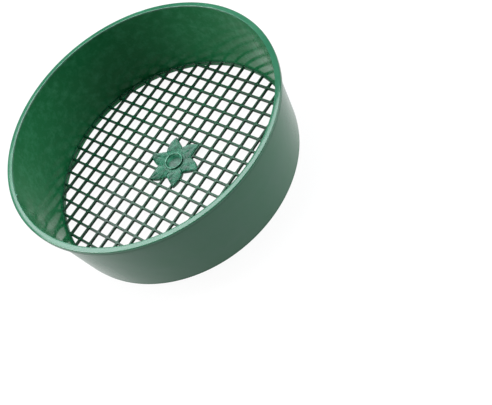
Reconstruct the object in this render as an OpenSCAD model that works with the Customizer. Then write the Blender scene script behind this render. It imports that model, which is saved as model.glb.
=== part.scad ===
// Round garden soil sieve: a tapered moulded drum with a square mesh floor.
// The drum stands on z = 0 with its open side up, and its round axis is Z.
// The mesh bars run along X and Y, and one bar of each set passes over the axis.

/* [Drum] */
// Outer diameter over the rim
rim_d = 360; // [330:2:380]
// Height from the resting edge to the top of the rim
height = 112; // [100:1:130]
// Slope of the wall away from the axis, in degrees
wall_draft = 4.7; // [4:0.1:6]
// Thickness of the wall
wall_t = 2.2; // [1.8:0.1:2.6]

/* [Rim] */
// Width of the flat lip, the top of the wall included
lip_w = 7.2; // [6:0.1:8]
// Thickness of the lip
lip_t = 2; // [1.6:0.1:2.4]
// Height of the rim from the top of the lip to the bottom of its turned-down skirt
skirt_h = 6; // [5:0.5:9]
// Thickness of the skirt
skirt_t = 1.7; // [1.4:0.1:2]
// Direction of the nib on the lip's inner edge, in degrees from +X
nib_angle = 241; // [0:1:359]

/* [Foot] */
// Height of the straight foot band
foot_h = 4.5; // [3.5:0.5:5]
// How far the foot band steps in from the bottom of the wall
foot_step = 0.8; // [0.4:0.1:1.2]

/* [Mesh] */
// Distance between the middles of two neighbouring bars
pitch = 18; // [17:0.5:20]
// Height of the underside of the bars above the resting edge
mesh_z = 5.7; // [5.2:0.1:8]
// Height of a bar
bar_h = 3.3; // [3:0.1:4]
// Width of a bar on the underside
bar_foot_w = 3.8; // [3.4:0.1:4.4]
// Width of a bar at its crest
bar_crest_w = 2; // [1.6:0.1:2.4]
// Width of the ledge between the mesh and the wall
ledge_w = 2.4; // [2:0.1:3]
// Thickness of the ledge
ledge_t = 1.8; // [1.4:0.1:2.2]
// How far the ledge lies below the bars' crests
ledge_sink = 0.4; // [0.2:0.1:0.8]

/* [Flower] */
// Radius to the tips of the petals
tip_r = 38.3; // [36:0.1:42]
// Radius to the valleys between the petals
valley_r = 22.5; // [21:0.1:25]
// Direction of the first petal's tip, in degrees from +X
tip_angle = 3.5; // [0:0.5:15]
// How far the valleys lie ahead of the point halfway between two tips, in degrees
valley_lead = 4.5; // [0:0.5:8]
// How far the leading side of a petal bulges from a straight line
petal_bulge = 2.7; // [1:0.1:3.5]
// Height of the petals above the bars' crests
plate_rise = 1.1; // [0.6:0.1:1.6]
// How far the flower plate hangs below the bars' undersides
plate_drop = 0.4; // [0.2:0.1:0.8]
// Radius of the round hub that carries the petals
hub_r = 16; // [15:0.5:18]
// Outer radius of the button on top of the hub
button_r = 12.4; // [11:0.1:13]
// Height of the button above the petals
button_h = 2.6; // [2:0.1:3]
// Radius of the dimple in the underside of the hub
dimple_r = 6; // [5:0.1:7]
// Depth of the dimple
dimple_h = 2.4; // [1.8:0.1:2.8]

/* [Hidden] */
$fn = 180;

body_green = [0.09, 0.33, 0.19];
edge_green = [0.36, 0.62, 0.47];
mesh_green = [0.20, 0.46, 0.33];

rim_r = rim_d / 2;
lip_z = height - lip_t;
mouth_r = rim_r - lip_w;
wall_top_r = mouth_r + wall_t;
wall_slope = tan(wall_draft);
wall_foot_r = wall_top_r - (lip_z - foot_h) * wall_slope;
foot_r = wall_foot_r - foot_step;
foot_inner_r = foot_r - wall_t;

mesh_top = mesh_z + bar_h;
ledge_top = mesh_top - ledge_sink;
ledge_z = ledge_top - ledge_t;
mesh_inner_r = inner_r(mesh_z);
bar_gap = 5;
bar_count = floor((mesh_inner_r - bar_gap) / pitch);

petal_count = 6;
petal_step = 360 / petal_count;
plate_z = mesh_z - plate_drop;
plate_top = mesh_top + plate_rise;
vein_w = 1.2;
vein_h = 0.5;
vein_start = hub_r + 2;
vein_end = tip_r - 8;

// Inner radius of the wall at height z
function inner_r(z) = wall_foot_r - wall_t + (z - foot_h) * wall_slope;

// A point at radius r and angle a
function polar(r, a) = [r * cos(a), r * sin(a)];

// Points of a quarter circle of radius r about c, from angle a0 on to a0 + 90
function quarter(c, r, a0, steps = 5) = [for (i = [0:steps]) c + polar(r, a0 + 90 * i / steps)];

// Points from a to b along a curve that stands sag off their chord at its middle
function bowed(a, b, sag, steps = 10) =
    let (d = b - a, side = [d.y, -d.x] / norm(d))
    [for (i = [0:steps]) a + d * i / steps + side * sag * 4 * i * (steps - i) / pow(steps, 2)];

// Points of the bulging leading side of the petal whose tip lies at angle a, from the tip to
// the valley. The trailing side is straight, so the flower looks as if it turns.
function petal_side(a) =
    bowed(polar(tip_r, a), polar(valley_r, a + petal_step / 2 + valley_lead), petal_bulge);

module side_wall() {
    color(body_green)
    rotate_extrude()
    polygon([
        [wall_foot_r - wall_t, foot_h], [wall_foot_r, foot_h],
        [wall_top_r, lip_z], [mouth_r, lip_z]
    ]);
}

module foot_band() {
    edge = 0.4;
    color(body_green)
    rotate_extrude()
    polygon([
        [foot_inner_r + edge, 0], [foot_r - edge, 0], [foot_r, edge],
        [foot_r, foot_h], [foot_inner_r, foot_h], [foot_inner_r, edge]
    ]);
}

module rim_lip() {
    outer_round = 1.5;
    inner_round = 0.5;
    color(edge_green)
    rotate_extrude()
    polygon(concat(
        [[mouth_r, lip_z], [rim_r, lip_z]],
        quarter([rim_r - outer_round, height - outer_round], outer_round, 0),
        quarter([mouth_r + inner_round, height - inner_round], inner_round, 90, 3)
    ));
}

module rim_skirt() {
    skirt_z = height - skirt_h;
    edge = 0.5;
    color(edge_green)
    rotate_extrude()
    polygon([
        [rim_r - skirt_t, lip_z], [rim_r - skirt_t, skirt_z + edge],
        [rim_r - skirt_t + edge, skirt_z], [rim_r - edge, skirt_z],
        [rim_r, skirt_z + edge], [rim_r, lip_z]
    ]);
}

// The nib stands in from the lip's inner edge, over a short stretch of it
module rim_nib() {
    nib_r = 1.3;
    nib_span = 1.1;
    nib_top = height - 0.6;
    color(edge_green)
    rotate(nib_angle - nib_span / 2)
    rotate_extrude(angle = nib_span)
    polygon([
        [mouth_r, lip_z], [mouth_r, nib_top], [mouth_r - nib_r / 2, nib_top],
        [mouth_r - nib_r, nib_top - nib_r / 2], [mouth_r - nib_r, lip_z]
    ]);
}

module mesh_ledge() {
    edge = 0.6;
    ledge_inner_r = inner_r(ledge_z) - ledge_w;
    color(mesh_green)
    rotate_extrude()
    polygon([
        [inner_r(ledge_z), ledge_z], [inner_r(ledge_top), ledge_top],
        [ledge_inner_r + edge, ledge_top], [ledge_inner_r, ledge_top - edge],
        [ledge_inner_r, ledge_z]
    ]);
}

// One bar along X, wide on the underside and narrow at its crest
module bar() {
    rotate([90, 0, 90])
    linear_extrude(2 * rim_r, center = true)
    polygon([
        [-bar_foot_w / 2, 0], [bar_foot_w / 2, 0],
        [bar_crest_w / 2, bar_h], [-bar_crest_w / 2, bar_h]
    ]);
}

module bar_set() {
    for (i = [-bar_count:bar_count])
        translate([0, i * pitch, mesh_z]) bar();
}

module mesh_grid() {
    color(mesh_green)
    difference() {
        intersection() {
            union() {
                bar_set();
                rotate(90) bar_set();
            }
            translate([0, 0, mesh_z])
            cylinder(r1 = inner_r(mesh_z), r2 = inner_r(mesh_top), h = bar_h);
        }
        difference() {
            translate([0, 0, ledge_z]) cylinder(r = rim_r, h = bar_h);
            cylinder(r = inner_r(ledge_z) - ledge_w, h = height);
        }
        flower_space();
    }
}

// Outline of one petal, whose tip is on +X, and its share of the hub
module petal_outline() {
    polygon(concat([[0, 0], polar(valley_r, valley_lead - petal_step / 2)], petal_side(0)));
}

// Everything that the flower plate takes out of the mesh
module flower_space() {
    translate([0, 0, plate_z - 1])
    linear_extrude(bar_h + 2 * plate_rise + 2)
    polygon([for (i = [0:petal_count - 1]) each petal_side(tip_angle + i * petal_step)]);
}

// A petal with a low vein along its middle
module petal(i) {
    color(edge_green)
    rotate(tip_angle + i * petal_step)
    union() {
        difference() {
            translate([0, 0, plate_z]) linear_extrude(plate_top - plate_z) petal_outline();
            cylinder(r = hub_r, h = height);
        }
        translate([vein_start, -vein_w / 2, plate_top - vein_h])
        cube([vein_end - vein_start, vein_w, 2 * vein_h]);
    }
}

module petal_1() { petal(0); }
module petal_2() { petal(1); }
module petal_3() { petal(2); }
module petal_4() { petal(3); }
module petal_5() { petal(4); }
module petal_6() { petal(5); }

module flower_hub() {
    color(edge_green)
    difference() {
        translate([0, 0, plate_z]) cylinder(r = hub_r, h = plate_top - plate_z);
        translate([0, 0, plate_z - 1]) cylinder(r = dimple_r, h = dimple_h + 1);
    }
}

// A button on the hub: a rounded ring, a groove inside it and a low dome in the middle
module flower_button() {
    edge = 0.8;
    groove_r = button_r - 3;
    groove_z = button_h - 1.4;
    dome_z = button_h - 0.3;
    dome_bow = 0.3;
    color(edge_green)
    translate([0, 0, plate_top])
    rotate_extrude()
    polygon(concat(
        [[0, 0], [button_r, 0]],
        quarter([button_r - edge, button_h - edge], edge, 0),
        [[button_r - 2 * edge, button_h - edge / 3]],
        bowed([groove_r, groove_z], [0, dome_z], dome_bow)
    ));
}

module under_ring() {
    ring_in = 11;
    ring_out = 14;
    ring_h = 0.7;
    edge = 0.4;
    color(edge_green)
    translate([0, 0, plate_z])
    rotate_extrude()
    polygon([
        [ring_in, 0], [ring_in + edge, -ring_h], [ring_out - edge, -ring_h], [ring_out, 0]
    ]);
}

module gate_boss() {
    boss_r = 1.6;
    boss_h = dimple_h - 0.8;
    color(edge_green)
    translate([0, 0, plate_z + dimple_h - boss_h])
    cylinder(r = boss_r, h = boss_h);
}

side_wall();
foot_band();
mesh_ledge();
mesh_grid();
rim_lip();
rim_skirt();
rim_nib();
petal_1();
petal_2();
petal_3();
petal_4();
petal_5();
petal_6();
flower_hub();
flower_button();
under_ring();
gate_boss();
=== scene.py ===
"""The looks of the garden soil sieve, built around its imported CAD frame."""

import math

import bmesh
import bpy
from mathutils import Matrix, Vector


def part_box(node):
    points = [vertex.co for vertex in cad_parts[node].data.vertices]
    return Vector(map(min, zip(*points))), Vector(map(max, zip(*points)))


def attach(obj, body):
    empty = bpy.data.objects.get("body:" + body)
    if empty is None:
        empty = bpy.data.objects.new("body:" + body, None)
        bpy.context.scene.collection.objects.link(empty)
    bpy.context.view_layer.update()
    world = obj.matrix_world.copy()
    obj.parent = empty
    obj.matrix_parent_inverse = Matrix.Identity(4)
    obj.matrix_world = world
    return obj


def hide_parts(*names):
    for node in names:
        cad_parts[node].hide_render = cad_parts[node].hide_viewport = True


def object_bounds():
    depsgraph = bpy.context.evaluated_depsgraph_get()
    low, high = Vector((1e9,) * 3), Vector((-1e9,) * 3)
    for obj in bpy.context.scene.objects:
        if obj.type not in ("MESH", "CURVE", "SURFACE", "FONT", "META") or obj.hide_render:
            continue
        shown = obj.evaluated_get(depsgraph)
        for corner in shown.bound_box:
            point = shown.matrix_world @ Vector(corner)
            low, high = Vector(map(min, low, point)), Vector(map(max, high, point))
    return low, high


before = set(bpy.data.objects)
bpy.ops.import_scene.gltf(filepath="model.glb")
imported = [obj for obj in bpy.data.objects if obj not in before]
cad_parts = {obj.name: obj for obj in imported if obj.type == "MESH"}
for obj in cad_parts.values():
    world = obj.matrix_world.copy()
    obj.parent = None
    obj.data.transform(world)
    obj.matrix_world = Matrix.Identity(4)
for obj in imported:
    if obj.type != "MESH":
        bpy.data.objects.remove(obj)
cad_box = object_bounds()

MM = 0.001
BODY = "root"
TURN = 2 * math.pi
ROUND_STEPS = 288
SMALL_STEPS = 96
SHARP_ANGLE = math.radians(38)
MERGE_DISTANCE = 0.5e-6

# Lowest and highest corners of the frame's nodes
LIP_LO, LIP_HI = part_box("rim_lip")
SKIRT_LO, SKIRT_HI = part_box("rim_skirt")
WALL_LO, WALL_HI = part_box("side_wall")
FOOT_LO, FOOT_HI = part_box("foot_band")
LEDGE_LO, LEDGE_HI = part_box("mesh_ledge")
GRID_LO, GRID_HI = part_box("mesh_grid")
NIB_LO, NIB_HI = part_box("rim_nib")
HUB_LO, HUB_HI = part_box("flower_hub")
BUTTON_LO, BUTTON_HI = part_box("flower_button")
PETAL_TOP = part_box("petal_1")[1].z
RING_LO, RING_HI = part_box("under_ring")
BOSS_LO, BOSS_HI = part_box("gate_boss")

# The sieve's own sizes, some of them taken from the boxes
WALL_T = 2.2 * MM
RIM_R = -LIP_LO.x
LIP_W = 7.2 * MM
MOUTH_R = RIM_R - LIP_W
SKIRT_T = 1.7 * MM
WALL_SLOPE = math.tan(math.radians(4.7))
WALL_TOP_R = WALL_HI.x
FOOT_R = FOOT_HI.x
PITCH = 18 * MM
BAR_COUNT = 8
DIAGONAL = 0.7071
PETAL_COUNT = 6
PETAL_STEP = TURN / PETAL_COUNT
TIP_ANGLE = math.radians(3.5)
TIP_R = 38.3 * MM
VALLEY_R = 22.5 * MM
VALLEY_LEAD = math.radians(4.5)
PETAL_BULGE = 2.7 * MM


def wall_outer(z):
    """Outer radius of the wall at height z."""
    return WALL_TOP_R - (WALL_HI.z - z) * WALL_SLOPE


def wall_inner(z):
    """Inner radius of the wall at height z."""
    return wall_outer(z) - WALL_T


# ---------------------------------------------------------------- camera, lights and floor

CAMERA_PLACE = Vector((0.6789, -0.2592, 0.7993))
CAMERA_RIGHT = Vector((0.7583, 0.5421, -0.3620))
CAMERA_BACK = Vector((0.5816, -0.3121, 0.7513))
CAMERA_LENS = 60.99
CAMERA_SENSOR = 36
CAMERA_NEAR = 0.01
CAMERA_SHIFT = (0.0053, -0.1367)


def make_camera():
    """The camera, from its place, its right hand and the direction behind it."""
    data = bpy.data.cameras.new("camera")
    data.lens = CAMERA_LENS
    data.sensor_width = CAMERA_SENSOR
    data.shift_x, data.shift_y = CAMERA_SHIFT
    data.clip_start = CAMERA_NEAR
    camera = bpy.data.objects.new("camera", data)
    back = CAMERA_BACK.normalized()
    up = back.cross(CAMERA_RIGHT).normalized()
    right = up.cross(back)
    turn = Matrix((right, up, back)).transposed().to_4x4()
    camera.matrix_world = Matrix.Translation(CAMERA_PLACE) @ turn
    bpy.context.scene.collection.objects.link(camera)
    bpy.context.scene.camera = camera


def make_light(name, direction, distance, size, power, colour=(1, 1, 1)):
    """A rectangular soft light that looks at the middle of the sieve from a direction."""
    data = bpy.data.lights.new(name, "AREA")
    data.shape = "RECTANGLE"
    data.size, data.size_y = size
    data.energy = power
    data.color = colour
    light = bpy.data.objects.new(name, data)
    away = Vector(direction).normalized()
    middle = (cad_box[0] + cad_box[1]) / 2
    light.location = middle + away * distance
    light.rotation_mode = "QUATERNION"
    light.rotation_quaternion = away.to_track_quat("Z", "Y")
    bpy.context.scene.collection.objects.link(light)


def make_world(low, high):
    """A soft white dome that goes from one brightness at the horizon to another overhead."""
    overhead = 0.6
    world = bpy.data.worlds.new("studio")
    world.use_nodes = True
    tree = world.node_tree
    place = tree.nodes.new("ShaderNodeTexCoord")
    parts = tree.nodes.new("ShaderNodeSeparateXYZ")
    fall = tree.nodes.new("ShaderNodeMapRange")
    fall.inputs["From Min"].default_value = 0.0
    fall.inputs["From Max"].default_value = overhead
    fall.inputs["To Min"].default_value = low
    fall.inputs["To Max"].default_value = high
    tree.links.new(place.outputs["Generated"], parts.inputs["Vector"])
    tree.links.new(parts.outputs["Z"], fall.inputs["Value"])
    background = tree.nodes["Background"]
    background.inputs["Color"].default_value = (1, 1, 1, 1)
    tree.links.new(fall.outputs["Result"], background.inputs["Strength"])
    bpy.context.scene.world = world


def make_floor(glow, shade):
    """A pale floor that glows a little, as a lit light table does."""
    half = 60
    z = cad_box[0].z
    mesh = bpy.data.meshes.new("floor")
    corners = [(-half, -half, z), (half, -half, z), (half, half, z), (-half, half, z)]
    mesh.from_pydata(corners, [], [(0, 1, 2, 3)])
    floor = bpy.data.objects.new("floor", mesh)
    bpy.context.scene.collection.objects.link(floor)
    material = bpy.data.materials.new("floor")
    material.use_nodes = True
    shader = material.node_tree.nodes["Principled BSDF"]
    shader.inputs["Base Color"].default_value = (shade, shade, shade, 1)
    shader.inputs["Roughness"].default_value = 0.9
    shader.inputs["Specular IOR Level"].default_value = 0
    shader.inputs["Emission Color"].default_value = (1, 1, 1, 1)
    shader.inputs["Emission Strength"].default_value = glow
    mesh.materials.append(material)


# ---------------------------------------------------------------- materials

# Waves to the metre of each texture
CLOUD_WAVES = 14
SHEEN_MOTTLE_WAVES = 120
GRAIN_WAVES = 420
SCUFF_WAVES = 90
SHEEN_WAVES = 30
SINK_WAVES = 22
FLOW_WAVES = 170

PLASTIC_IOR = 1.5


class Nodes:
    """Short calls for building one material's node tree."""

    def __init__(self, name):
        self.material = bpy.data.materials.new(name)
        self.material.use_nodes = True
        self.tree = self.material.node_tree
        self.shader = self.tree.nodes["Principled BSDF"]

    def add(self, kind, **settings):
        """A new node, with some of its settings."""
        node = self.tree.nodes.new(kind)
        for key, value in settings.items():
            setattr(node, key, value)
        return node

    def link(self, output, node, name):
        self.tree.links.new(output, node.inputs[name])

    def noise(self, vector, scale, detail, roughness):
        """Noise with a number of waves to the metre."""
        node = self.add("ShaderNodeTexNoise")
        node.inputs["Scale"].default_value = scale
        node.inputs["Detail"].default_value = detail
        node.inputs["Roughness"].default_value = roughness
        self.link(vector, node, "Vector")
        return node.outputs["Fac"]

    def spread(self, value, low, high, to_low, to_high):
        """The value from low to high mapped on to_low to to_high, and held at those ends."""
        node = self.add("ShaderNodeMapRange")
        self.link(value, node, "Value")
        node.inputs["From Min"].default_value = low
        node.inputs["From Max"].default_value = high
        node.inputs["To Min"].default_value = to_low
        node.inputs["To Max"].default_value = to_high
        return node.outputs["Result"]

    def math(self, operation, a, b):
        """A sum on two values, each a number or another node's output."""
        node = self.add("ShaderNodeMath", operation=operation)
        for socket, value in zip(node.inputs, (a, b)):
            if isinstance(value, (int, float)):
                socket.default_value = value
            else:
                self.tree.links.new(value, socket)
        return node.outputs["Value"]

    def mix(self, factor, a, b):
        """A mix of two colours, each a colour or another node's output."""
        node = self.add("ShaderNodeMix", data_type="RGBA")
        self.tree.links.new(factor, node.inputs[0])
        for socket, value in ((node.inputs[6], a), (node.inputs[7], b)):
            if isinstance(value, tuple):
                socket.default_value = (*value, 1)
            else:
                self.tree.links.new(value, socket)
        return node.outputs[2]

    def bump(self, height, distance, strength, normal=None):
        """Relief from a height, laid over another node's relief if one is given."""
        node = self.add("ShaderNodeBump")
        node.inputs["Distance"].default_value = distance
        node.inputs["Strength"].default_value = strength
        self.link(height, node, "Height")
        if normal is not None:
            self.link(normal, node, "Normal")
        return node.outputs["Normal"]


def from_axis(n, place):
    """The level vector from the sieve's axis to a place."""
    flat = n.add("ShaderNodeVectorMath", operation="MULTIPLY")
    n.tree.links.new(place, flat.inputs[0])
    flat.inputs[1].default_value = (1, 1, 0)
    return flat.outputs["Vector"]


def outside(n, place, normal):
    """1 where a surface faces away from the sieve's axis, 0 where it faces the axis."""
    flat = from_axis(n, place)
    unit = n.add("ShaderNodeVectorMath", operation="NORMALIZE")
    n.tree.links.new(flat, unit.inputs[0])
    dot = n.add("ShaderNodeVectorMath", operation="DOT_PRODUCT")
    n.tree.links.new(unit.outputs["Vector"], dot.inputs[0])
    n.tree.links.new(normal, dot.inputs[1])
    return n.spread(dot.outputs["Value"], 0.3, 0.8, 0, 1)


def facing_up(n, normal, low, high):
    """1 where a surface lies level with its face up, 0 where it is steep or faces down."""
    parts = n.add("ShaderNodeSeparateXYZ")
    n.link(normal, parts, "Vector")
    return n.spread(parts.outputs["Z"], low, high, 0, 1)


def ring_highlight_band(n, place, radius):
    """1 within half a millimetre of a radius from the axis, and 0 beyond 1.1 mm from it."""
    flat = from_axis(n, place)
    length = n.add("ShaderNodeVectorMath", operation="LENGTH")
    n.tree.links.new(flat, length.inputs[0])
    off = n.math("ABSOLUTE", n.math("SUBTRACT", length.outputs["Value"], radius), 0)
    return n.spread(off, 0.5 * MM, 1.1 * MM, 1, 0)


def moulded_plastic(name, deep, bright, worn_and_lit, roughness, wear, level, outer_sheen=None, crest_highlight=0.0,
                    flow=0.0, band=None):
    """Green polypropylene: mottled, with orange peel, sink waves and rubbed edges. It can have a
    greyer outer side that is a painted reflection of the white surroundings, a painted highlight on
    its level tops, flow marks from its gate whose finer mottle is a painted reflection, and a
    painted highlight on a band round the axis, given by its radius. Wear is how far rubbing goes
    towards the lighter colour that serves both wear and the painted highlights, and level is how
    strongly the surface mirrors."""
    n = Nodes(name)
    place = n.add("ShaderNodeTexCoord").outputs["Object"]
    shape = n.add("ShaderNodeNewGeometry")

    # Where there are flow marks the cloud is finer; in the flower's wide deep-to-bright colours its
    # mottle is a painted reflection of the petals' mottled sheen, and it also varies the roughness.
    cloud_waves = SHEEN_MOTTLE_WAVES if flow else CLOUD_WAVES
    cloud = n.noise(place, cloud_waves, 3, 0.55)
    grain = n.noise(place, GRAIN_WAVES, 2, 0.6)
    tint = n.mix(n.spread(cloud, 0.36, 0.64, 0, 1), deep, bright)

    scuff = n.noise(place, SCUFF_WAVES, 4, 0.7)
    patch = n.spread(scuff, 0.45, 0.75, 0.25, 1)
    # Lighter sharp edges from wear; the painted highlights on level tops and on the ring are added
    # to this same mask.
    wear_and_highlight = n.math("MULTIPLY", n.spread(shape.outputs["Pointiness"], 0.52, 0.6, 0, 1), wear)
    # Painted highlight: faces that lie level, such as the bars' crest, go towards the lighter
    # colour.
    if crest_highlight:
        top = facing_up(n, shape.outputs["Normal"], 0.85, 0.99)
        wear_and_highlight = n.math("MAXIMUM", wear_and_highlight, n.math("MULTIPLY", top, crest_highlight))
    # Painted highlight: a lighter band at the given radius, for the button's ring crest.
    if band:
        wear_and_highlight = n.math("MAXIMUM", wear_and_highlight, ring_highlight_band(n, place, band))
    colour = n.mix(n.math("MULTIPLY", wear_and_highlight, patch), tint, worn_and_lit)
    # Painted reflection: faces turned away from the axis go towards a greyer green, which stands in
    # for the white surroundings mirrored on the outer wall.
    if outer_sheen:
        sheen_spread = n.spread(n.noise(place, SHEEN_WAVES, 3, 0.6), 0.3, 0.7, 0.8, 1)
        away = outside(n, place, shape.outputs["Normal"])
        colour = n.mix(n.math("MULTIPLY", away, sheen_spread), colour, outer_sheen)
    n.link(colour, n.shader, "Base Color")

    base_gloss = n.spread(cloud, 0.3, 0.7, roughness - 0.03, roughness + 0.04)
    gloss = n.math("ADD", base_gloss, n.spread(scuff, 0.6, 0.85, 0, 0.03))
    n.link(gloss, n.shader, "Roughness")

    relief = n.bump(n.noise(place, SINK_WAVES, 1, 0.4), 1.2 * MM, 0.35)
    if flow:
        relief = n.bump(n.noise(place, FLOW_WAVES, 2, 0.5), 0.5 * MM, flow, relief)
    peel = n.bump(grain, 0.04 * MM, 0.5, relief)
    n.link(peel, n.shader, "Normal")

    n.shader.inputs["IOR"].default_value = PLASTIC_IOR
    n.shader.inputs["Specular IOR Level"].default_value = level
    return n.material


# ---------------------------------------------------------------- building pieces

def finish_piece(obj, material, nodes):
    """Shades a piece, gives it its material, and puts it on the frame in place of its CAD nodes."""
    mesh = obj.data
    mesh.polygons.foreach_set("use_smooth", [True] * len(mesh.polygons))
    mesh.set_sharp_from_angle(angle=SHARP_ANGLE)
    mesh.materials.clear()
    mesh.materials.append(material)
    weighted = obj.modifiers.new("weighted", "WEIGHTED_NORMAL")
    weighted.keep_sharp = True
    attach(obj, BODY)
    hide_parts(*nodes)


def new_object(name, verts, faces):
    """A mesh object with merged points and outward normals."""
    mesh = bpy.data.meshes.new(name)
    mesh.from_pydata(verts, [], faces)
    shell = bmesh.new()
    shell.from_mesh(mesh)
    bmesh.ops.remove_doubles(shell, verts=shell.verts, dist=MERGE_DISTANCE)
    bmesh.ops.recalc_face_normals(shell, faces=shell.faces)
    shell.to_mesh(mesh)
    shell.free()
    obj = bpy.data.objects.new(name, mesh)
    bpy.context.scene.collection.objects.link(obj)
    return obj


def arc(r, z, radius, start, end, steps):
    """Points (r, z) on an arc about a centre, between two angles in degrees."""
    points = []
    for i in range(steps + 1):
        a = math.radians(start + (end - start) * i / steps)
        points.append((r + radius * math.cos(a), z + radius * math.sin(a)))
    return points


def lathe(name, profile, steps, closed=True):
    """A profile of (r, z) points turned about Z. An open one starts and ends on the axis."""
    verts = []
    for i in range(steps):
        a = TURN * i / steps
        verts += [(r * math.cos(a), r * math.sin(a), z) for r, z in profile]
    count = len(profile)
    last = count if closed else count - 1
    faces = []
    for i in range(steps):
        here, there = i * count, (i + 1) % steps * count
        for k in range(last):
            m = (k + 1) % count
            faces.append((here + k, there + k, there + m, here + m))
    return new_object(name, verts, faces)


def polar(r, a):
    """The point at a radius and an angle about Z, seen from above."""
    return Vector((r * math.cos(a), r * math.sin(a)))


def trim(obj, tool, operation):
    """Cuts a piece with another closed mesh, which is then removed."""
    cut = obj.modifiers.new("cut", "BOOLEAN")
    cut.operation = operation
    cut.object = tool
    cut.solver = "MANIFOLD"
    bpy.context.view_layer.update()
    shaped = obj.evaluated_get(bpy.context.evaluated_depsgraph_get())
    mesh = bpy.data.meshes.new_from_object(shaped)
    obj.modifiers.clear()
    old = obj.data
    obj.data = mesh
    bpy.data.meshes.remove(old)
    bpy.data.objects.remove(tool)


# ---------------------------------------------------------------- the drum

def build_wall(material):
    """The tapered wall, with its lower outer edge rounded."""
    foot_z, top_z = WALL_LO.z, WALL_HI.z
    edge = 0.35 * MM
    profile = [
        (wall_inner(foot_z), foot_z),
        *arc(wall_outer(foot_z) - edge, foot_z + edge, edge, -90, 0, 4),
        (wall_outer(top_z), top_z),
        (wall_inner(top_z), top_z),
    ]
    obj = lathe("drum_wall", profile, ROUND_STEPS)
    finish_piece(obj, material, ["side_wall"])


def build_foot(material):
    """The foot band, which runs a little way up into the wall."""
    edge = 0.4 * MM
    bury = 0.2 * MM
    inner = FOOT_R - WALL_T
    bottom, top = FOOT_LO.z, FOOT_HI.z
    profile = [
        *arc(inner + edge, bottom + edge, edge, 180, 270, 4),
        *arc(FOOT_R - edge, bottom + edge, edge, 270, 360, 4),
        (FOOT_R, top + bury),
        (inner, top + bury),
    ]
    obj = lathe("foot_band", profile, ROUND_STEPS)
    finish_piece(obj, material, ["foot_band"])


def build_lip(material):
    """The flat lip, with its top a little crowned, and the small round mark left by a gate."""
    outer, inner = 1.4 * MM, 0.8 * MM
    bottom, top = LIP_LO.z, LIP_HI.z
    bow = 0.11 * MM
    near, far = MOUTH_R + inner, RIM_R - outer
    crown = []
    steps = 8
    for i in range(1, steps):
        t = 2 * i / steps - 1
        crown.append(((near + far) / 2 - t * (far - near) / 2, top - bow * t * t))
    profile = [
        (MOUTH_R, bottom),
        (RIM_R, bottom),
        *arc(far, top - bow - outer, outer, 0, 86, 9),
        *crown,
        *arc(near, top - bow - inner, inner, 94, 180, 6),
    ]
    obj = lathe("rim_lip", profile, ROUND_STEPS)
    mark_r, mark_depth, mark_over = 1.5 * MM, 0.16 * MM, 1 * MM
    mark_steps = 24
    disc = [(0, -mark_depth), (mark_r, -mark_depth), (mark_r, mark_over), (0, mark_over)]
    mark = lathe("gate_mark", disc, mark_steps, closed=False)
    spot = polar(176.6 * MM, math.radians(59.5))
    mark.data.transform(Matrix.Translation((spot.x, spot.y, top)))
    trim(obj, mark, "DIFFERENCE")
    finish_piece(obj, material, ["rim_lip"])


def build_nib(material):
    """The nib on the lip's inner edge, rounded in plan and sloped at its nose."""
    reach, half = 1.3 * MM, math.radians(0.55)
    middle = math.atan2(NIB_LO.y + NIB_HI.y, NIB_LO.x + NIB_HI.x)
    bottom, top = NIB_LO.z, NIB_HI.z
    bury = 0.5 * MM
    verts = []
    steps = 12
    for i in range(steps + 1):
        t = 2 * i / steps - 1
        out = reach * math.sqrt(max(1 - t * t, 0.02))
        row = [
            (MOUTH_R + bury, bottom),
            (MOUTH_R + bury, top),
            (MOUTH_R - out * 0.4, top),
            (MOUTH_R - out * 0.8, top - out * 0.25),
            (MOUTH_R - out, top - out * 0.6),
            (MOUTH_R - out, bottom),
        ]
        for r, z in row:
            spot = polar(r, middle + half * t)
            verts.append((spot.x, spot.y, z))
    count = len(row)
    faces = []
    for i in range(steps):
        a, b = i * count, (i + 1) * count
        for k in range(count):
            m = (k + 1) % count
            faces.append((a + k, b + k, b + m, a + m))
    faces.append(tuple(range(count)))
    faces.append(tuple(range(steps * count, (steps + 1) * count)))
    obj = new_object("rim_nib", verts, faces)
    finish_piece(obj, material, ["rim_nib"])


def build_skirt(material):
    """The turned-down edge, with the fine parting line that runs round its outer face."""
    edge = 0.5 * MM
    inner = RIM_R - SKIRT_T
    bottom, top = SKIRT_LO.z, SKIRT_HI.z
    line_z = top - 1.7 * MM
    line_h = 0.25 * MM
    line_d = 0.18 * MM
    profile = [
        (inner, top),
        *arc(inner + edge, bottom + edge, edge, 180, 270, 5),
        *arc(RIM_R - edge, bottom + edge, edge, 270, 360, 5),
        (RIM_R, line_z - line_h),
        (RIM_R - line_d, line_z),
        (RIM_R, line_z + line_h),
        (RIM_R, top),
    ]
    obj = lathe("rim_skirt", profile, ROUND_STEPS)
    finish_piece(obj, material, ["rim_skirt"])


def build_ledge(material):
    """The ledge round the mesh, set a little way into the wall."""
    edge = 0.6 * MM
    bury = 0.8 * MM
    bottom, top = LEDGE_LO.z, LEDGE_HI.z
    width = 2.4 * MM
    inner = wall_inner(bottom) - width
    profile = [
        (wall_inner(bottom) + bury, bottom),
        (wall_inner(top) + bury, top),
        *arc(inner + edge, top - edge, edge, 90, 180, 6),
        (inner, bottom),
    ]
    obj = lathe("mesh_ledge", profile, ROUND_STEPS)
    finish_piece(obj, material, ["mesh_ledge"])


# ---------------------------------------------------------------- the mesh

def cell_line(lo, hi, margin):
    """Coordinates along one side of an opening, from low to high, a margin in from its ends."""
    spots = 3
    a, b = lo + margin, hi - margin
    return [a + (b - a) * (i + 1) / (spots + 1) for i in range(spots)]


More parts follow.
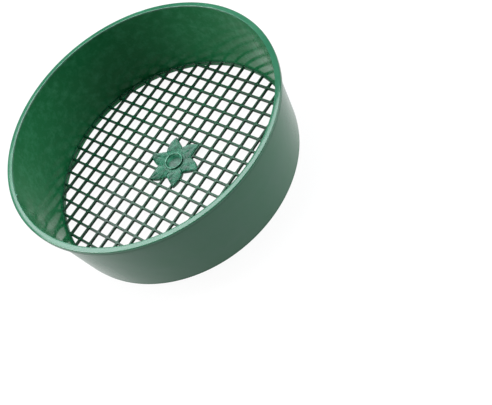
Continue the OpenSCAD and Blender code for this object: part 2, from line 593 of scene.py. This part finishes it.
def cell_loop(x0, x1, y0, y1, inset, corner, reach):
    """Points round an opening inset from its bars' middles, with corners of a given radius.
    Where the inset is nothing, each corner is a point and its neighbours lie reach away."""
    a = inset + (corner if inset > 0 else reach)
    points = []
    corners = [(x1, y0, 1, -1), (x1, y1, 1, 1), (x0, y1, -1, 1), (x0, y0, -1, -1)]
    for k, (x, y, sx, sy) in enumerate(corners):
        cx, cy = x - sx * a, y - sy * a
        if inset > 0:
            bend = [(0.0, 1.0), (DIAGONAL, DIAGONAL), (1.0, 0.0)]
            turn = [(cx + sx * corner * u, cy + sy * corner * v) for u, v in bend]
        else:
            turn = [(cx, y), (x, y), (x, cy)]
        if k % 2 == 0:
            points += turn
        else:
            points += turn[::-1]
        if k == 0:
            points += [(x - inset, v) for v in cell_line(y0, y1, a)]
        elif k == 1:
            points += [(v, y - inset) for v in cell_line(x0, x1, a)[::-1]]
        elif k == 2:
            points += [(x + inset, v) for v in cell_line(y0, y1, a)[::-1]]
        else:
            points += [(v, y + inset) for v in cell_line(x0, x1, a)]
    return points


def bar_profile():
    """(inset, height, corner radius) from a bar's crest round its flank to its underside."""
    top, bottom = GRID_HI.z, GRID_LO.z
    crest, foot = 1.2 * MM, 1.9 * MM
    crown, heel = 0.4 * MM, 0.35 * MM
    corner = 0.7 * MM
    slope = math.degrees(math.atan2(foot - crest, top - bottom))
    rows = [(0.0, top, 0.0)]
    for inset, z in arc(crest - crown, top - crown, crown, 86, slope, 4):
        rows.append((inset, z, corner + foot - inset))
    for inset, z in arc(foot - heel, bottom + heel, heel, slope, -88, 3):
        rows.append((inset, z, corner + foot - inset))
    rows.append((0.0, bottom, 0.0))
    return rows


def build_grid(material):
    """The mesh, opening by opening: each is a ring of loops that share the bars' middle lines."""
    far = RIM_R + 6 * MM
    lines = [-far] + [k * PITCH for k in range(-BAR_COUNT, BAR_COUNT + 1)] + [far]
    rows = bar_profile()
    reach = 2.6 * MM
    verts, faces = [], []
    for x0, x1 in zip(lines, lines[1:]):
        for y0, y1 in zip(lines, lines[1:]):
            loops = [
                [(x, y, z) for x, y in cell_loop(x0, x1, y0, y1, inset, corner, reach)]
                for inset, z, corner in rows
            ]
            base, count = len(verts), len(loops[0])
            verts += [p for loop in loops for p in loop]
            for k in range(len(loops) - 1):
                for i in range(count):
                    j = (i + 1) % count
                    a, b = base + k * count, base + (k + 1) * count
                    faces.append((a + i, a + j, b + j, b + i))
    obj = new_object("sieve_mesh", verts, faces)
    shell = bmesh.new()
    shell.from_mesh(obj.data)
    rim = [e for e in shell.edges if e.is_boundary]
    bmesh.ops.bridge_loops(shell, edges=rim)
    bmesh.ops.recalc_face_normals(shell, faces=shell.faces)
    shell.to_mesh(obj.data)
    shell.free()

    over = 4 * MM
    low, high = GRID_LO.z - over, GRID_HI.z + over
    bury = 0.9 * MM
    flower_bury = 0.8 * MM
    cone = [(0, low), (wall_inner(low) + bury, low), (wall_inner(high) + bury, high), (0, high)]
    trim(obj, lathe("trim_cone", cone, ROUND_STEPS, closed=False), "INTERSECT")
    trim(obj, star_prism(flower_bury, low, high), "DIFFERENCE")
    finish_piece(obj, material, ["mesh_grid"])


# ---------------------------------------------------------------- the flower

def leading_side(a, steps=12):
    """Points of the bulging side of the petal at angle a, from its tip to the next valley."""
    tip, valley = polar(TIP_R, a), polar(VALLEY_R, a + PETAL_STEP / 2 + VALLEY_LEAD)
    along = valley - tip
    out = Vector((along.y, -along.x)).normalized()
    points = []
    for i in range(steps + 1):
        t = i / steps
        points.append(tip + along * t + out * PETAL_BULGE * 4 * t * (1 - t))
    return points


def star_prism(shrink, low, high):
    """The flower's outline drawn in a little and raised from low to high."""
    outline = []
    for i in range(PETAL_COUNT):
        outline += leading_side(TIP_ANGLE + i * PETAL_STEP)
    outline = [p * (1 - shrink / p.length) for p in outline]
    count = len(outline)
    verts = [(p.x, p.y, low) for p in outline] + [(p.x, p.y, high) for p in outline]
    faces = [tuple(range(count))[::-1], tuple(range(count, 2 * count))]
    faces += [(i, (i + 1) % count, count + (i + 1) % count, count + i) for i in range(count)]
    return new_object("star_prism", verts, faces)


def petal_sides(t):
    """The two edge points of a petal on +X at a share t of the way from its root to its tip."""
    root_r = 14.5 * MM
    knee = 0.3
    lead = leading_side(0.0, 48)[::-1]
    valley_lo = polar(VALLEY_R, VALLEY_LEAD - PETAL_STEP / 2)
    tip = polar(TIP_R, 0)
    if t < knee:
        s = t / knee
        r = root_r + (VALLEY_R - root_r) * s
        return polar(r, VALLEY_LEAD - PETAL_STEP / 2), polar(r, VALLEY_LEAD + PETAL_STEP / 2)
    s = (t - knee) / (1 - knee)
    spot = s * (len(lead) - 1)
    k = min(int(spot), len(lead) - 2)
    high = lead[k].lerp(lead[k + 1], spot - k)
    low = valley_lo.lerp(tip, s)
    return low, high


def build_petal(index, material):
    """A petal as a lofted leaf: rounded edges with a bead inside them, a shallow dish along its
    middle, a faint vein, and a lean to one side. Its relief fades out towards the hub."""
    turn = Matrix.Rotation(TIP_ANGLE + index * PETAL_STEP, 2)
    top, bottom = HUB_HI.z, HUB_LO.z
    along, across = 30, 18
    edge = 0.55 * MM
    bead_h, bead_in, bead_w = 0.30 * MM, 0.9 * MM, 0.5 * MM
    vein_h, vein_at, vein_w = 0.24 * MM, 0.45, 1.1 * MM
    dish_h = 0.25 * MM
    lean_h = 0.6 * MM
    drop = 0.25 * MM
    root_free, root_fade = 0.1, 0.25
    tip_share = 0.985
    crowding = 1.25
    grid = []
    for i in range(along + 1):
        t = 1 - (1 - i / along) ** crowding
        low, high = petal_sides(min(t, tip_share))
        width = (high - low).length
        row = []
        for j in range(across + 1):
            v = j / across
            v = v * v * (3 - 2 * v) * 0.5 + v * 0.5
            p = low.lerp(high, v)
            near = min(v, 1 - v) * width
            fall = edge - math.sqrt(max(edge ** 2 - max(edge - near, 0) ** 2, 0))
            free = min(max((t - root_free) / root_fade, 0), 1)
            bead = bead_h * math.exp(-((near - bead_in) / bead_w) ** 2)
            off_vein = (v - vein_at) * width
            vein = vein_h * math.exp(-(off_vein / vein_w) ** 2) * (1 - 0.7 * t)
            dish = dish_h * math.sin(math.pi * v) * (1 - t)
            lean = lean_h * (v - 0.5) * (1 - 0.5 * t)
            z = top - fall + (bead + vein - dish) * free + lean - drop
            row.append((p, min(z, PETAL_TOP)))
        grid.append(row)
    verts, faces = [], []
    columns = across + 1
    for row in grid:
        for p, z in row:
            q = turn @ p
            verts.append((q.x, q.y, z))
    under = len(verts)
    for row in grid:
        for p, _ in row:
            q = turn @ p
            verts.append((q.x, q.y, bottom))
    for i in range(along):
        for j in range(across):
            a = i * columns + j
            b = a + columns
            faces.append((a, a + 1, b + 1, b))
            faces.append((under + a, under + b, under + b + 1, under + a + 1))
        a, b = i * columns, (i + 1) * columns
        faces.append((a, b, under + b, under + a))
        a, b = a + across, b + across
        faces.append((a, under + a, under + b, b))
    for start in (0, along * columns):
        for j in range(across):
            a = start + j
            faces.append((a, under + a, under + a + 1, a + 1))
    obj = new_object(f"petal_{index + 1}", verts, faces)
    finish_piece(obj, material, [f"petal_{index + 1}"])


def build_hub(material):
    """The round middle of the flower plate, with a dimple in its underside."""
    top, bottom, r = HUB_HI.z, HUB_LO.z, HUB_HI.x
    edge = 0.5 * MM
    dimple, depth, soft = 6 * MM, 2.4 * MM, 0.5 * MM
    profile = [
        (0, bottom + depth),
        *arc(dimple - soft, bottom + depth - soft, soft, 90, 0, 4),
        *arc(dimple + soft, bottom + soft, soft, 180, 270, 4),
        *arc(r - edge, bottom + edge, edge, 270, 360, 4),
        *arc(r - edge, top - edge, edge, 0, 90, 5),
        (0, top),
    ]
    obj = lathe("flower_hub", profile, SMALL_STEPS, closed=False)
    finish_piece(obj, material, ["flower_hub"])


def build_button(material):
    """The button: a ring with a rounded crest, a groove inside it and a low dome in the middle."""
    top, bottom, r = BUTTON_HI.z, BUTTON_LO.z, BUTTON_HI.x
    edge = 1.0 * MM
    groove_r, groove_z = r - 3.2 * MM, top - 1.7 * MM
    dome_z = top - 0.5 * MM
    bury = 0.3 * MM
    dome = []
    steps = 16
    for i in range(steps + 1):
        t = i / steps
        z = groove_z + (dome_z - groove_z) * (1 - (1 - t) ** 2)
        dome.append((groove_r * (1 - t), z))
    profile = [
        (0, bottom - bury),
        (r, bottom - bury),
        *arc(r - edge, top - edge, edge, 0, 160, 14),
        *dome,
    ]
    obj = lathe("flower_button", profile, SMALL_STEPS, closed=False)
    finish_piece(obj, material, ["flower_button"])


def build_under_ring(material):
    """The low ring under the flower plate, let a little way into it."""
    top, bottom = RING_HI.z, RING_LO.z
    inner, outer = 11 * MM, RING_HI.x
    edge = 0.35 * MM
    bury = 0.1 * MM
    profile = [
        (inner, top + bury),
        *arc(inner + edge, bottom + edge, edge, 180, 270, 4),
        *arc(outer - edge, bottom + edge, edge, 270, 360, 4),
        (outer, top + bury),
    ]
    obj = lathe("under_ring", profile, SMALL_STEPS)
    finish_piece(obj, material, ["under_ring"])


def build_boss(material):
    """The boss that the gate left in the dimple, let a little way into the hub."""
    r, bottom, top = BOSS_HI.x, BOSS_LO.z, BOSS_HI.z
    edge = 0.4 * MM
    bury = 0.1 * MM
    boss_steps = 48
    profile = [
        (0, bottom),
        *arc(r - edge, bottom + edge, edge, 270, 360, 4),
        (r, top + bury),
        (0, top + bury),
    ]
    obj = lathe("gate_boss", profile, boss_steps, closed=False)
    finish_piece(obj, material, ["gate_boss"])


# ---------------------------------------------------------------- the scene

bpy.context.scene.view_settings.view_transform = "Standard"
make_camera()
make_world(low=0.2, high=0.05)
make_floor(glow=0.93, shade=0.07)
make_light("key", direction=(-0.220, 0.315, 0.923), distance=3.0, size=(4.6, 1.6), power=180,
           colour=(0.96, 1.0, 1.06))
make_light("left_box", direction=(-0.426, -0.609, 0.669), distance=2.5, size=(1.6, 1.2), power=38)
make_light("right_box", direction=(0.604, 0.720, 0.342), distance=2.5, size=(1.6, 1.2), power=28)
make_light("strip", direction=(-0.385, -0.269, 0.883), distance=2.5, size=(0.4, 2.4), power=45)

# The flower's colours: the wide mottle between deep and bright is a painted reflection.
FLOWER_DEEP = (0.002, 0.040, 0.019)
FLOWER_BRIGHT = (0.018, 0.110, 0.062)
FLOWER_WORN_AND_LIT = (0.16, 0.38, 0.27)

# The drum's last colour is a painted reflection, greyer on the outer faces.
drum_green = moulded_plastic(
    "drum_green", deep=(0.001, 0.102, 0.027), bright=(0.002, 0.110, 0.030),
    worn_and_lit=(0.06, 0.28, 0.15), roughness=0.2, wear=0.4, level=0.12, outer_sheen=(0.050, 0.128, 0.086))
# The lip's greyer, bluer copy of the drum's green is a painted highlight on the lit lip.
lip_lit_green = moulded_plastic(
    "lip_lit_green", deep=(0.017, 0.095, 0.050), bright=(0.025, 0.116, 0.062),
    worn_and_lit=(0.14, 0.42, 0.30), roughness=0.14, wear=0.8, level=0.45)
# The mesh is a much darker copy of the drum's green, painted shade for its shaded flanks, and its
# level crest carries a painted highlight.
mesh_green = moulded_plastic(
    "mesh_green", deep=(0.0004, 0.018, 0.006), bright=(0.001, 0.030, 0.010),
    worn_and_lit=(0.01, 0.16, 0.07), roughness=0.2, wear=0.4, level=0.22, crest_highlight=0.3)
# The ledge is a darker copy of the drum's green: painted shade, for the ledge lies in shadow at the
# foot of the wall.
ledge_shaded_green = moulded_plastic(
    "ledge_shaded_green", deep=(0.001, 0.036, 0.012), bright=(0.002, 0.046, 0.016),
    worn_and_lit=(0.03, 0.20, 0.10), roughness=0.2, wear=0.5, level=0.15)
flower_green = moulded_plastic(
    "flower_green", FLOWER_DEEP, FLOWER_BRIGHT, FLOWER_WORN_AND_LIT,
    roughness=0.25, wear=0.8, level=0.25, flow=0.8)
# The button has the flower's colours and a painted highlight on its ring crest.
button_green = moulded_plastic(
    "button_green", FLOWER_DEEP, FLOWER_BRIGHT, FLOWER_WORN_AND_LIT,
    roughness=0.3, wear=0.8, level=0.28, flow=0.4, band=BUTTON_HI.x - MM)

build_wall(drum_green)
build_foot(drum_green)
build_lip(lip_lit_green)
build_skirt(drum_green)
build_nib(lip_lit_green)
build_ledge(ledge_shaded_green)
build_grid(mesh_green)
for number in range(PETAL_COUNT):
    build_petal(number, flower_green)
build_hub(flower_green)
build_button(button_green)
build_under_ring(flower_green)
build_boss(flower_green)
